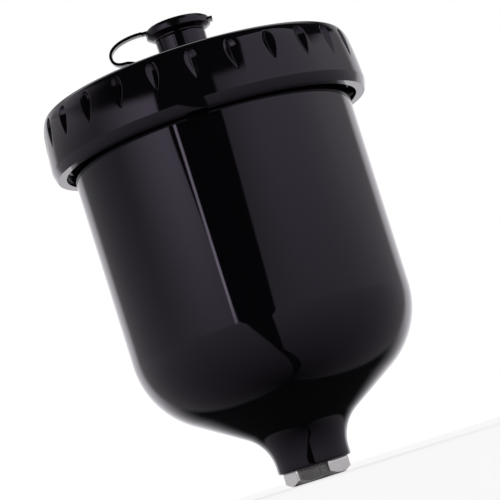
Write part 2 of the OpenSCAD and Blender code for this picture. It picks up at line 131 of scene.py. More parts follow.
class PaintCupThread(bpy.types.PropertyGroup):
    """The coarse screw thread between the cup and the lid."""

    lead: length("Lead", "Rise of the lid in one full turn", 10)
    starts: count("Starts", "Number of thread starts", 2, 1)
    depth: length("Depth", "Height of a ridge", 1.5)
    foot: length("Foot", "Width of a ridge at its foot", 2.6)
    crest: length("Crest", "Width of a ridge at its crest", 1.4)
    low: length("Low end", "Height of the ridge's middle at its low end", 124.49)
    sweep: turn("Sweep", "Angle that each ridge runs round the mouth", 400)
    fade: turn("Fade", "Angle over which a ridge runs out", 18)


class PaintCupOutlet(bpy.types.PropertyGroup):
    """The hexagonal nut at the cup's foot."""

    flats: length("Across flats", "Size of the hexagon", 20)
    height: length("Height", "Height of the hexagon", 5)
    turn: turn("Turn", "Angle of a corner of the hexagon about the axis", -6.5)
    seat: length("Seat radius", "Radius of the chamfered seat face", 9.6)
    chamfer: length("Chamfer", "Height of the chamfer at a corner", 1.6)
    bore: length("Bore radius", "Radius of the thread's crests", 7.2)
    bore_length: length("Bore length", "Length of the threaded hole", 8.2)
    pitch: length("Pitch", "Pitch of the outlet's thread", 1.5)
    groove: length("Groove", "Depth of the outlet's thread", 0.75)
    stem: length("Stem radius", "Radius of the moulded-in stem", 9.5)
    stem_top: length("Stem top", "Height of the stem's end", 13)
    passage: length("Passage radius", "Radius of the paint passage", 5.2)


class PaintCupStrainer(bpy.types.PropertyGroup):
    """The woven sleeve of the strainer."""

    low: length("Foot height", "Height of the sleeve's foot", 15.5)
    high: length("Top height", "Height of the sleeve's top", 34.4)
    low_radius: length("Foot radius", "Radius of the sleeve at its foot", 6.4)
    high_radius: length("Top radius", "Radius of the sleeve at its top", 4.8)
    strands: count("Upright strands", "Strands that run up the sleeve", 56)
    rings: count("Level strands", "Strands that run round the sleeve", 44)
    strand: length("Strand", "Thickness of a strand", 0.16)


class PaintCupLid(bpy.types.PropertyGroup):
    """The screw lid, with its skirt, finger notches, crown and boss."""

    outer: length("Skirt radius", "Radius of the skirt at its widest", 55.78)
    inner: length("Inner radius", "Radius inside the skirt", 51.3)
    bottom: length("Skirt end", "Height of the skirt's end", 121.3)
    crease: length("Crease", "Height of the crease", 124.6)
    flare: length("Flare", "How much the side draws in", 1.1)
    lean_low: turn("Lean at the crease", "Lean of the side at the crease", 2)
    lean_high: turn("Lean at the edge", "Lean of the side at the rounded edge", 7)
    top: length("Top", "Height of the lid's top edge", 143.1)
    edge: length("Edge height", "Height of the rounded top edge", 5.7)
    edge_width: length("Edge width", "Width of the rounded top edge", 3.4)
    rim_width: length("Rim width", "Width of the raised rim", 2)
    step: length("Step", "Depth of the step inside the rim", 1)
    seat: length("Seat", "Height of the gasket's seat", 140.1)
    crown: length("Crown", "Height of the crown at the boss", 149.3)
    crown_foot: length("Crown radius", "Radius of the crown's inner end", 12.4)
    collar: length("Collar radius", "Radius of the collar", 10.6)
    collar_top: length("Collar top", "Height of the collar's top", BOSS_Z / MM)
    boss: length("Boss radius", "Radius of the boss at its mouth", 8.8)
    boss_top: length("Boss top", "Height of the boss's mouth", 158.5)
    vent: length("Vent radius", "Radius of the vent bore", 5.6)
    under: length("Underside", "Height of the underside at the bore", 145.7)
    notches: count("Notches", "Number of finger notches", 26)
    notch_turn: turn("Notch turn", "Angle of the notch nearest the front", 1.3)
    notch_low: length("Notch foot", "Height of a notch's foot", 130.4)
    notch_height: length("Notch height", "Height of a notch", 10.3)
    notch_width: length("Notch width", "Width of a notch at its widest", 4.2)
    notch_depth: length("Notch depth", "Depth of a notch", 1.5)
    columns: count("Columns per notch", "Faces round each notch's share", 36, 12)


class PaintCupCap(bpy.types.PropertyGroup):
    """The soft vent cap, with its ring and strap."""

    radius: length("Disc radius", "Radius of the cap's disc", 11.3)
    hub: length("Hub radius", "Radius of the hub on the boss", 8.9)
    under: length("Underside", "Height of the disc's underside", 159.2)
    edge: length("Edge foot", "Height of the edge's lower corner", 160.3)
    top: length("Edge top", "Height of the disc's edge", 163.4)
    crown: length("Crown", "Rise of the disc's top", 0.5)
    plug: length("Plug radius", "Radius of the plug", 5.3)
    plug_wall: length("Plug wall", "Thickness of the plug's wall", 1.4)
    plug_low: length("Plug end", "Height of the plug's end", 154.7)
    lean: share("Lean", "Rise of the disc towards the strap", 0.026)
    sink: length("Sink", "How far the leaning disc sits down", 0.2)
    ring_inner: length("Ring bore", "Inner radius of the ring", 9.1)
    ring_outer: length("Ring radius", "Outer radius of the ring", 11.3)
    ring: length("Ring", "Thickness of the ring", 1.1)
    reach: length("Lug reach", "Distance from the axis to the lugs' ends", 12.7)
    strap_width: length("Strap width", "Width of the strap", 3.6)
    strap: length("Strap", "Thickness of the strap", 1)
    bend: length("Bend", "Distance from the axis to the strap's bend", 24.95)
    bend_z: length("Bend height", "Height of the strap's bend", 158.03)
    run: length("Run height", "Height of the strap's lower run", 154.85)
    tab: length("Tab", "How far the pull tab reaches", 12.45)
    tab_width: length("Tab width", "Width of the pull tab", 6)


class PaintCupFinish(bpy.types.PropertyGroup):
    """Colours and roughness of the cup's finishes."""

    cup: colour("Cup", "Black of the glossy cup", (0.0035, 0.003, 0.004))
    cup_rough: share("Cup roughness", "Roughness of the cup", 0.03)
    lid: colour("Lid", "Black of the lid", (0.0045, 0.004, 0.005))
    lid_rough: share("Lid roughness", "Roughness of the lid", 0.05)
    soft: colour("Soft black", "Black of the strap and cap", (0.007, 0.0065, 0.0075))
    soft_rough: share("Soft roughness", "Roughness of the strap and cap", 0.14)
    nut: colour("Nut", "Colour of the plated nut", (0.9, 0.88, 0.88))
    nut_rough: share("Nut roughness", "Roughness of the plated nut", 0.2)
    rubber: colour("Rubber", "Colour of the gasket", (0.03, 0.03, 0.032))
    nylon: colour("Nylon", "Colour of the strainer", (0.8, 0.79, 0.76))
    washer: colour("Washer", "Colour of the washer", (0.78, 0.76, 0.7))
    tint: colour("Gloss tint", "Tint of the black plastic's gloss", (0.88, 0.77, 1.0))


class PaintCupStage(bpy.types.PropertyGroup):
    """The camera and the studio."""

    distance: length("Distance", "Distance from the cup's axis to the camera", 648.09)
    height: length("Height", "Height of the camera above the seat face", 2.28)
    pitch: turn("Pitch", "How far the camera looks up", 6.893)
    heading: turn("Heading", "How far the camera looks towards +X", 0.074)
    roll: turn("Roll", "How far the camera is rolled", -17.487)
    lens: bpy.props.FloatProperty(
        name="Lens", description="Focal length on a 36 mm sensor", default=138.58,
        min=1.0, unit="CAMERA")
    floor: length("Floor radius", "Radius of the floor", 3000)
    level: share("Light", "Strength of the studio's light", 1.0, 4.0)


PROPERTY_GROUPS = {
    "paint_cup_body": PaintCupBody,
    "paint_cup_thread": PaintCupThread,
    "paint_cup_outlet": PaintCupOutlet,
    "paint_cup_strainer": PaintCupStrainer,
    "paint_cup_lid": PaintCupLid,
    "paint_cup_cap": PaintCupCap,
    "paint_cup_finish": PaintCupFinish,
    "paint_cup_stage": PaintCupStage,
}


# Nodes written as expressions


class Value:
    """A socket that arithmetic can be written on."""

    def __init__(self, flow, socket):
        self.flow = flow
        self.socket = socket

    def math(self, operation, *others, first=None):
        values = (self, *others) if first is None else (first, self, *others)
        return self.flow.node(
            "ShaderNodeMath", dict(enumerate(values)), operation=operation)

    # math is the method above here, not the module
    __add__ = partialmethod(math, "ADD")
    __sub__ = partialmethod(math, "SUBTRACT")
    __mul__ = partialmethod(math, "MULTIPLY")
    __truediv__ = partialmethod(math, "DIVIDE")
    __pow__ = partialmethod(math, "POWER")
    __abs__ = partialmethod(math, "ABSOLUTE")

    def __rsub__(self, other):
        return self.math("SUBTRACT", first=other)

    def __rtruediv__(self, other):
        return self.math("DIVIDE", first=other)

    def __neg__(self):
        return self * -1.0

    def limit(self, low=0.0, high=1.0):
        return self.math("MAXIMUM", low).math("MINIMUM", high)

    def nearest(self):
        """How far the value lies from the nearest whole number."""
        return self - (self + 0.5).math("FLOOR")

    def step(self, low, high):
        """Goes smoothly from 0 at low to 1 at high."""
        return self.flow.node(
            "ShaderNodeMapRange", {"Value": self, "From Min": low, "From Max": high},
            interpolation_type="SMOOTHSTEP")


class Flow:
    """Makes the nodes of one tree, and hands back their outputs as values."""

    def __init__(self, tree):
        self.tree = tree

    def node(self, kind, inputs=None, output=0, **settings):
        made = self.tree.nodes.new(kind)
        for name, value in settings.items():
            setattr(made, name, value)
        for key, value in (inputs or {}).items():
            socket = self.find(made.inputs, key)
            if isinstance(value, Value):
                self.tree.links.new(value.socket, socket)
            else:
                socket.default_value = value
        return Value(self, self.find(made.outputs, output))

    @staticmethod
    def find(sockets, key):
        if isinstance(key, int):
            return sockets[key]
        named = [s for s in sockets if s.name == key and s.enabled]
        if not named:
            raise KeyError(f"no socket is called {key}")
        return named[0]

    def ramp(self, value, stops):
        """A straight-line function through stops (place, height), both from 0 to 1."""
        made = self.node("ShaderNodeValToRGB", {0: value})
        elements = made.socket.node.color_ramp.elements
        while len(elements) > 1:
            elements.remove(elements[-1])
        for i, (place, height) in enumerate(stops):
            element = elements[0] if i == 0 else elements.new(place)
            element.position = place
            element.color = (height, height, height, 1.0)
        return made

    def mix(self, factor, low, high):
        """A colour between two colours."""
        return self.node(
            "ShaderNodeMix", {0: factor, 6: low, 7: high}, 2, data_type="RGBA")

    def xyz(self, **parts):
        """A vector of its parts X, Y and Z."""
        return self.node("ShaderNodeCombineXYZ", parts)

    def parts(self, vector, *names):
        """Some of a vector's parts X, Y and Z."""
        first = self.node("ShaderNodeSeparateXYZ", {0: vector}, names[0])
        sockets = first.socket.node.outputs
        return (first, *(Value(self, sockets[name]) for name in names[1:]))

    def scaled(self, vector, factors):
        return self.node(
            "ShaderNodeVectorMath", {0: vector, 1: factors}, operation="MULTIPLY")

    def noise(self, place, scale, detail=2.0, roughness=0.5):
        return self.node("ShaderNodeTexNoise", {
            "Vector": place, "Scale": scale, "Detail": detail, "Roughness": roughness})

    def end(self, kind, result):
        """Ends a shader tree in its output node."""
        out = self.tree.nodes.new(kind)
        self.tree.links.new(result.socket, out.inputs["Surface"])


def rgba(tone):
    return (*tone, 1.0)


def blank_flow(owner):
    """An emptied node tree of a material or a world."""
    owner.use_nodes = True
    owner.node_tree.nodes.clear()
    return Flow(owner.node_tree)


# Finishes


class Finish:
    """A material under way: its flow, its shader and the object's coordinates."""

    def __init__(self, name, tone, roughness, metallic=0.0, tint=(1.0, 1.0, 1.0)):
        self.material = bpy.data.materials.new(name)
        self.material.diffuse_color = rgba(tone)
        self.tone = tone
        self.roughness = roughness
        self.flow = blank_flow(self.material)
        surface = self.flow.node("ShaderNodeBsdfPrincipled", {
            "Base Color": rgba(tone), "Roughness": roughness, "Metallic": metallic,
            "IOR": 1.5, "Specular Tint": rgba(tint)})
        self.flow.end("ShaderNodeOutputMaterial", surface)
        self.shader = surface.socket.node
        self.place = self.flow.node("ShaderNodeTexCoord", output="Object")

    def feed(self, name, value):
        self.flow.tree.links.new(value.socket, self.shader.inputs[name])

    def noise(self, scale, detail=2.0, roughness=0.5):
        return self.flow.noise(self.place, scale, detail, roughness)

    def streaks(self, scale, detail, along):
        """Noise that is drawn out along the axis."""
        return self.flow.noise(
            self.flow.scaled(self.place, (1.0, 1.0, along)), scale, detail)

    def shade(self, factor, times, plus=0.0):
        """Blends the colour towards a lighter or darker one."""
        self.feed("Base Color", self.flow.mix(
            factor, rgba(self.tone), rgba([c * times + plus for c in self.tone])))

    def roughen(self, amount, middle):
        """Lets the roughness vary, with the amount's middle taken off."""
        self.feed("Roughness", amount + (self.roughness - middle))

    def bump(self, height, strength, distance):
        """Gives the surface its relief, and hands back the material."""
        self.feed("Normal", self.flow.node("ShaderNodeBump", {
            "Height": height, "Strength": strength, "Distance": distance}))
        return self.material


def moulded_gloss(*looks):
    """Black plastic as it comes from a polished mould."""
    finish = Finish(*looks)
    haze = finish.noise(38.0, 3.0)
    scuff = finish.streaks(620.0, 2.0, 0.12).step(0.62, 0.78) * haze.step(0.45, 0.7)
    dust = finish.noise(2600.0, 1.0).step(0.78, 0.86)
    finish.shade((scuff * 0.35 + dust * 0.5).limit(), 2.2, 0.004)
    finish.roughen(haze * 0.03 + scuff * 0.06 + dust * 0.2, 0.015)
    return finish.bump(
        finish.noise(150.0) * 0.8 + finish.noise(900.0) * 0.2, 0.1, 0.06 * MM)


def moulded_satin(*looks):
    """Black plastic from a plain mould, with a fine grain."""
    finish = Finish(*looks)
    haze = finish.noise(60.0, 3.0)
    rub = finish.streaks(900.0, 2.0, 0.2).step(0.6, 0.8)
    finish.shade((rub * 0.5).limit(), 2.0, 0.004)
    finish.roughen(haze * 0.05 + rub * 0.08, 0.025)
    return finish.bump(
        finish.noise(210.0) * 0.7 + finish.noise(4200.0) * 0.3, 0.12, 0.06 * MM)


def soft_rubbery(*looks):
    """Soft black plastic with a faint bloom."""
    finish = Finish(*looks)
    bloom = finish.noise(240.0, 4.0)
    finish.shade(bloom.step(0.45, 0.75) * 0.6, 2.0, 0.003)
    finish.roughen(bloom * 0.1, 0.05)
    return finish.bump(bloom * 0.4 + finish.noise(5200.0) * 0.6, 0.2, 0.05 * MM)


def plated_metal(*looks):
    """Turned and plated steel: fine tool marks, a grain and small pits."""
    finish = Finish(*looks, metallic=1.0)
    flow = finish.flow
    flat = flow.scaled(finish.place, (1.0, 1.0, 0.0))
    out = flow.node("ShaderNodeVectorMath", {0: flat}, "Value", operation="LENGTH")
    grain = finish.noise(2600.0, 4.0, 0.65)
    lines = (out * 26000.0 + grain * 3.0).math("SINE") * 0.5 + 0.5
    drawn = finish.streaks(5200.0, 3.0, 0.08)
    pits = finish.noise(4200.0, 1.0).step(0.68, 0.8)
    cloud = finish.noise(320.0, 3.0)
    finish.shade((pits * 0.5 + cloud.step(0.5, 0.8) * 0.25).limit(), 0.55)
    finish.roughen(cloud * 0.12 + pits * 0.2 + grain * 0.14, 0.13)
    return finish.bump(
        grain * 0.5 + drawn * 0.3 + lines * 0.12 - pits * 0.5, 0.45, 0.04 * MM)


def white_nylon(*looks):
    """Moulded white nylon, slightly clouded."""
    finish = Finish(*looks)
    cloud = finish.noise(180.0, 3.0)
    finish.shade(cloud.step(0.4, 0.75), 0.9)
    finish.roughen(cloud * 0.12, 0.06)
    return finish.bump(finish.noise(1500.0), 0.12, 0.05 * MM)


def gasket_rubber(*looks):
    """Black rubber with a talc bloom."""
    finish = Finish(*looks)
    talc = finish.noise(420.0, 5.0, 0.6)
    finish.shade(talc.step(0.5, 0.8) * 0.5, 2.2, 0.02)
    finish.roughen(talc * 0.14, 0.07)
    return finish.bump(finish.noise(3200.0, 3.0), 0.3, 0.06 * MM)


FINISHES = {}


def finishes(scene):
    """Every finish by name, made once."""
    if FINISHES:
        return FINISHES
    f = scene.paint_cup_finish
    FINISHES.update({
        "cup": moulded_gloss("Cup gloss", f.cup, f.cup_rough, 0.0, f.tint),
        "lid": moulded_satin("Lid gloss", f.lid, f.lid_rough, 0.0, f.tint),
        "soft": soft_rubbery("Soft black plastic", f.soft, f.soft_rough, 0.0, f.tint),
        "nut": plated_metal("Plated nut", f.nut, f.nut_rough),
        "rubber": gasket_rubber("Gasket rubber", f.rubber, 0.55),
        "nylon": white_nylon("White nylon", f.nylon, 0.4),
        "weave": white_nylon("Nylon strand", f.nylon, 0.35),
        "washer": white_nylon("Washer plastic", f.washer, 0.45),
    })
    return FINISHES


# Outlines, as points (radius, height)


def arc(x, y, r, start, end, steps):
    angles = [math.radians(start + (end - start) * i / steps) for i in range(steps + 1)]
    return [(x + r * math.cos(a), y + r * math.sin(a)) for a in angles]


def bezier(a, b, c, d, steps):
    points = []
    for i in range(steps + 1):
        t = i / steps
        u = 1 - t
        weighed = list(zip((u ** 3, 3 * u * u * t, 3 * u * t * t, t ** 3), (a, b, c, d)))
        points.append(tuple(sum(w * p[n] for w, p in weighed) for n in (0, 1)))
    return points


def straight(a, b, steps):
    """Points between two ends, without the ends."""
    return [(a[0] + (b[0] - a[0]) * i / steps, a[1] + (b[1] - a[1]) * i / steps)
            for i in range(1, steps)]


def rounded(corners, steps=5):
    """A closed outline whose corners, given as (x, y, radius), are rounded."""
    points = []
    for i, (x, y, r) in enumerate(corners):
        here = Vector((x, y))
        back = Vector(corners[i - 1][:2]) - here
        ahead = Vector(corners[(i + 1) % len(corners)][:2]) - here
        if r <= 0:
            points.append((x, y))
            continue
        half = back.angle(ahead) / 2
        cut = min(r / math.tan(half), 0.45 * back.length, 0.45 * ahead.length)
        start = here + back.normalized() * cut
        end = here + ahead.normalized() * cut
        for k in range(steps + 1):
            t = k / steps
            p = start * (1 - t) ** 2 + here * 2 * t * (1 - t) + end * t * t
            points.append((p.x, p.y))
    return points


# Turned forms


class Tree:
    """A Geometry Nodes tree under way."""

    def __init__(self, name, sizes):
        self.tree = bpy.data.node_groups.new(name, "GeometryNodeTree")
        sockets = [("Geometry", "INPUT", "Geometry"), ("Geometry", "OUTPUT", "Geometry")]
        sockets += [(size, "INPUT", "Int" if isinstance(value, int) else "Float")
                    for size, value in sizes.items()]
        for size, way, kind in sockets:
            self.tree.interface.new_socket(
                name=size, in_out=way, socket_type="NodeSocket" + kind)
        self.sizes = sizes
        self.flow = Flow(self.tree)
        self.entry = self.tree.nodes.new("NodeGroupInput")
        self.exit = self.tree.nodes.new("NodeGroupOutput")

    def __getitem__(self, name):
        """An input of the tree as a value."""
        return Value(self.flow, self.entry.outputs[name])

    def end(self, geometry, material):
        """Ends the tree in plain, smooth faces of one material."""
        geometry = self.flow.node("GeometryNodeRealizeInstances", {0: geometry})
        geometry = self.flow.node("GeometryNodeSetMaterial", {"Geometry": geometry})
        geometry.socket.node.inputs["Material"].default_value = material
        self.tree.links.new(geometry.socket, self.exit.inputs[0])

    def run(self, name, mesh, crease):
        """The plain object that the tree makes of a mesh."""
        holder = set_down(name, mesh)
        modifier = holder.modifiers.new(self.tree.name, "NODES")
        modifier.node_group = self.tree
        for item in self.tree.interface.items_tree:
            if item.in_out == "INPUT" and item.name in self.sizes:
                modifier[item.identifier] = self.sizes[item.name]
        made = applied(holder, name, crease)
        if not made.data.polygons:
            raise RuntimeError(f"{name}: the tree made no faces")
        return made


def set_down(name, data):
    """An object of its own at the origin."""
    obj = bpy.data.objects.new(name, data)
    bpy.context.scene.collection.objects.link(obj)
    return obj


def piece(name, mesh, crease):
    """An object at the origin whose faces point outwards."""
    volume = sum(signed_share(mesh, p) for p in mesh.polygons)
    if volume < 0:
        mesh.flip_normals()
    for p in mesh.polygons:
        p.use_smooth = True
    if crease is not None:
        mesh.set_sharp_from_angle(angle=math.radians(crease))
    mesh.name = name
    return set_down(name, mesh)


def signed_share(mesh, polygon):
    v = [mesh.vertices[i].co for i in polygon.vertices]
    return sum(v[0].dot(v[i].cross(v[i + 1])) for i in range(1, len(v) - 1))


def line_mesh(name, points):
    """A chain of points in the XZ plane."""
    mesh = bpy.data.meshes.new(name)
    mesh.from_pydata([(x, 0.0, z) for x, z in points],
                     [(i, i + 1) for i in range(len(points) - 1)], [])
    return mesh


def outline_mesh(name, points, relief):
    """A closed chain, with a weight on each point for its relief."""
    mesh = line_mesh(name, [*points, points[0]])
    weight = mesh.attributes.new("relief", "FLOAT", "POINT")
    values = list(relief or [0.0] * len(points))
    weight.data.foreach_set("value", values + [values[0]])
    return mesh


def evenly(tree, column):
    return column / tree["Columns"] * FULL, None


def turned(name, points, material, columns, sizes=None, shape=None, relief=None,
           crease=32.0, spread=evenly):
    """Turns a closed outline about the axis.

    shape returns the radius as it is to be: it gets the tree, the radius, the
    height, the angle in radians, the column's place in its group and the outline's
    relief. spread gives each column its angle and its place in its group.
    """
    tree = Tree(name, {"Columns": columns, **(sizes or {})})
    flow = tree.flow
    source = tree["Geometry"]
    rows = flow.node(
        "GeometryNodeAttributeDomainSize", {0: source}, "Point Count", component="MESH")
    wide = tree["Columns"] + 1.0
    grid = flow.node(
        "GeometryNodeMeshGrid", {"Vertices X": rows, "Vertices Y": wide}, "Mesh")
    index = flow.node("GeometryNodeInputIndex")
    row = ((index + 0.5) / wide).math("FLOOR")
    column = index - row * wide

    def of_row(value, kind):
        return flow.node(
            "GeometryNodeSampleIndex", {"Geometry": source, "Value": value, "Index": row},
            "Value", data_type=kind, domain="POINT")

    place = of_row(flow.node("GeometryNodeInputPosition"), "FLOAT_VECTOR")
    weight = of_row(flow.node(
        "GeometryNodeInputNamedAttribute", {"Name": "relief"}, "Attribute",
        data_type="FLOAT"), "FLOAT")
    radius, height = flow.parts(place, "X", "Z")
    angle, group = spread(tree, column)
    if shape is not None:
        radius = shape(tree, radius, height, angle, group, weight)
    moved = flow.xyz(X=radius * angle.math("COSINE"), Y=radius * angle.math("SINE"),
                     Z=height)
    shaped = flow.node("GeometryNodeSetPosition", {"Geometry": grid, "Position": moved})
    closed = flow.node(
        "GeometryNodeMergeByDistance", {"Geometry": shaped, "Distance": JOIN_REACH})
    tree.end(closed, material)
    return tree.run(name, outline_mesh(name + " outline", points, relief), crease)


def ridge(tree, height, angle, relief, offset=0.0):
    """Height of a screw thread's ridge at a place, with run-out ends.

    The ridges pass height Low at angle 0 and run from angle From to angle To.
    """
    lead = tree["Lead"]
    period = FULL / tree["Starts"]
    along = (height - tree["Low"]) / lead * FULL
    off = ((angle - offset - along) / period).nearest() * period
    place = along + off
    ends = ((place - tree["From"]).math("MINIMUM", tree["To"] - place)
            / tree["Fade"]).limit()
    side = abs(off) * lead / FULL
    slope = (tree["Foot"] - tree["Crest"]) / 2.0
    flank = ((tree["Foot"] / 2.0 - side) / slope).limit()
    return flank * ends * tree["Depth"] * relief


def thread_sizes(t, start, end):
    return {
        "Lead": t.lead, "Starts": float(t.starts), "Depth": t.depth, "Foot": t.foot,
        "Crest": t.crest, "Low": t.low, "From": start, "To": end, "Fade": t.fade}


# The cup


def cup_outline(c, outlet, t):
    """The cup's closed outline, and which of its points carry the thread."""
    fall = math.tan(c.draft)
    tilt = math.degrees(c.funnel)
    slope = math.tan(c.funnel)
    neck_top = outlet.height + c.neck_straight
    sweep_r = c.neck + c.sweep * (1 - math.cos(c.funnel))
    sweep_z = neck_top + c.sweep * math.sin(c.funnel)
    rise = c.shoulder * math.sin(c.funnel)
    pull = c.shoulder * (1 - math.cos(c.funnel))
    rough_z = sweep_z + (c.mouth - pull - sweep_r) / slope + rise
    foot = c.mouth - (c.rim - rough_z) * fall
    shoulder_z = sweep_z + (foot - pull - sweep_r) / slope + rise
    lip = c.wall / 3
    low = t.low - 1.6 * MM
    high = c.rim - lip

    def side(z):
        return (c.mouth - (c.rim - z) * fall, z)

    out = [(outlet.stem, outlet.height)]
    out += arc(c.neck - c.edge, outlet.height + c.edge, c.edge, -90, 0, 6)
    out += arc(c.neck + c.sweep, neck_top, c.sweep, 180, 180 - tilt, 26)
    out += straight(out[-1], (foot - pull, shoulder_z - rise), 6)
    out += arc(foot - c.shoulder, shoulder_z, c.shoulder, -tilt, 0, 46)
    out += straight(out[-1], side(low), 14)
    plain = len(out)
    steps = int((high - low) / THREAD_STEP)
    band = [side(low + (high - low) * i / steps) for i in range(steps + 1)]
    out += band
    out += arc(c.mouth - lip, high, lip, 0, 90, 6)[1:]
    out += arc(c.mouth - c.wall + lip, high, lip, 90, 180, 6)
    inner = c.shoulder - c.wall
    out += straight(out[-1], (foot - c.wall, shoulder_z), 12)
    out += arc(foot - c.shoulder, shoulder_z, inner, 0, -tilt, 34)
    end_r = c.seat + c.inner_sweep * (1 - math.cos(c.funnel))
    foot_z = (out[-1][1] - (out[-1][0] - end_r) / slope
              - c.inner_sweep * math.sin(c.funnel))
    sweep = arc(c.seat + c.inner_sweep, foot_z, c.inner_sweep, 180 - tilt, 180, 8)
    out += straight(out[-1], sweep[0], 6) + sweep
    out += [(c.seat, outlet.stem_top), (outlet.stem, outlet.stem_top)]
    weights = [0.0] * plain + [1.0] * len(band)
    return out, weights + [0.0] * (len(out) - len(weights))


class PAINTCUP_OT_body(bpy.types.Operator):
    """Make the cup, with its funnel, neck and screw thread"""

    bl_idname = "paintcup.body"
    bl_label = "Cup"

    def execute(self, context):
        scene = context.scene
        t = scene.paint_cup_thread
        points, weights = cup_outline(scene.paint_cup_body, scene.paint_cup_outlet, t)
        cup = turned(
            "cup_gloss", points, finishes(scene)["cup"], scene.paint_cup_body.columns,
            thread_sizes(t, 0.0, t.sweep),
            lambda tree, radius, height, angle, group, relief:
                radius + ridge(tree, height, angle, relief),
            weights)
        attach(cup, "cup")
        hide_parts("cup_body")
        return {"FINISHED"}


# The outlet nut


def nut_outline(o):
    """The nut's closed outline; relief is 1 on the hexagon and -1 in the bore."""
    corner = o.flats / 2 / math.cos(math.radians(30))
    mouth = o.groove * 0.9
    pocket = o.bore + 0.4 * MM
    pocket_top = o.bore_length + 1.2 * MM
    bevel = 0.2 * MM
    out = [(o.bore + mouth, 0.0), (o.seat - 0.1 * MM, 0.0)]
    hexagon = [(corner, o.chamfer * 1.1 * i / 22) for i in range(23)]
    hexagon += [(corner, z) for z in (2.4 * MM, 3.2 * MM, 4 * MM, o.height - bevel)]
    hexagon += [(corner - bevel * 0.3, o.height - bevel * 0.3),
                (corner - bevel, o.height)]
    top = [(o.stem, o.height), (o.stem, o.stem_top), (o.passage, o.stem_top),
           (o.passage, pocket_top), (pocket, pocket_top), (pocket, o.bore_length)]
    steps = int(o.bore_length / (0.125 * MM))
    bore = [(o.bore, o.bore_length - (o.bore_length - mouth) * i / steps)
            for i in range(steps + 1)]
    weights = [0.0] * len(out) + [1.0] * len(hexagon) + [0.0] * len(top)
    return out + hexagon + top + bore, weights + [-1.0] * len(bore)


def nut_shape(tree, radius, height, angle, group, relief):
    """Cuts the hexagon and its chamfer, and the outlet's thread."""
    side = math.radians(60)
    off = (angle / side).nearest() * side
    flat = (tree["Flats"] / 2.0) / off.math("COSINE")
    corner = tree["Flats"] / 2.0 / math.cos(side / 2)
    flat = flat.math("SMOOTH_MIN", corner - 0.12 * MM, 0.3 * MM)
    cone = tree["Seat"] + height * (corner - tree["Seat"]) / tree["Chamfer"]
    outside = flat.math("SMOOTH_MIN", cone, 0.06 * MM) - corner
    phase = (height / tree["Pitch"] - angle / FULL).math("FRACT")
    groove = ((0.5 - abs(phase - 0.5)) * 2.6 - 0.2).limit() * tree["Groove"]
    return radius + outside * relief.limit() + groove * (-relief).limit()


class PAINTCUP_OT_outlet(bpy.types.Operator):
    """Make the plated outlet nut with its thread, and finish its washer"""

    bl_idname = "paintcup.outlet"
    bl_label = "Outlet Nut"

    def execute(self, context):
        scene = context.scene
        o = scene.paint_cup_outlet
        points, weights = nut_outline(o)
        nut = turned(
            "nut_plated", points, finishes(scene)["nut"], 240,
            {"Flats": o.flats, "Seat": o.seat, "Chamfer": o.chamfer,
             "Pitch": o.pitch, "Groove": o.groove},
            nut_shape, weights, 24.0)
        # the outline starts at the middle of a flat, and the turn is a corner's
        nut.data.transform(Matrix.Rotation(o.turn + math.radians(30), 4, "Z"))
        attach(nut, "cup")
        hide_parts("outlet_nut")
        dress("outlet_washer", finishes(scene)["washer"])
        return {"FINISHED"}


def dress(node, material):
    """Puts a finish on a CAD node."""
    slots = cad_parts[node].material_slots
    if not len(slots):
        raise RuntimeError(f"{node} has no material slot")
    for slot in slots:
        slot.material = material


# The strainer


class PAINTCUP_OT_strainer(bpy.types.Operator):
    """Weave the strainer's sleeve, and finish its frame"""

    bl_idname = "paintcup.strainer"
    bl_label = "Strainer"

    def execute(self, context):
        scene = context.scene
        s = scene.paint_cup_strainer
        weave = woven_sleeve(s, finishes(scene)["weave"])
        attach(weave, "cup")
        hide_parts("strainer_mesh")
        dress("strainer_frame", finishes(scene)["nylon"])
        return {"FINISHED"}


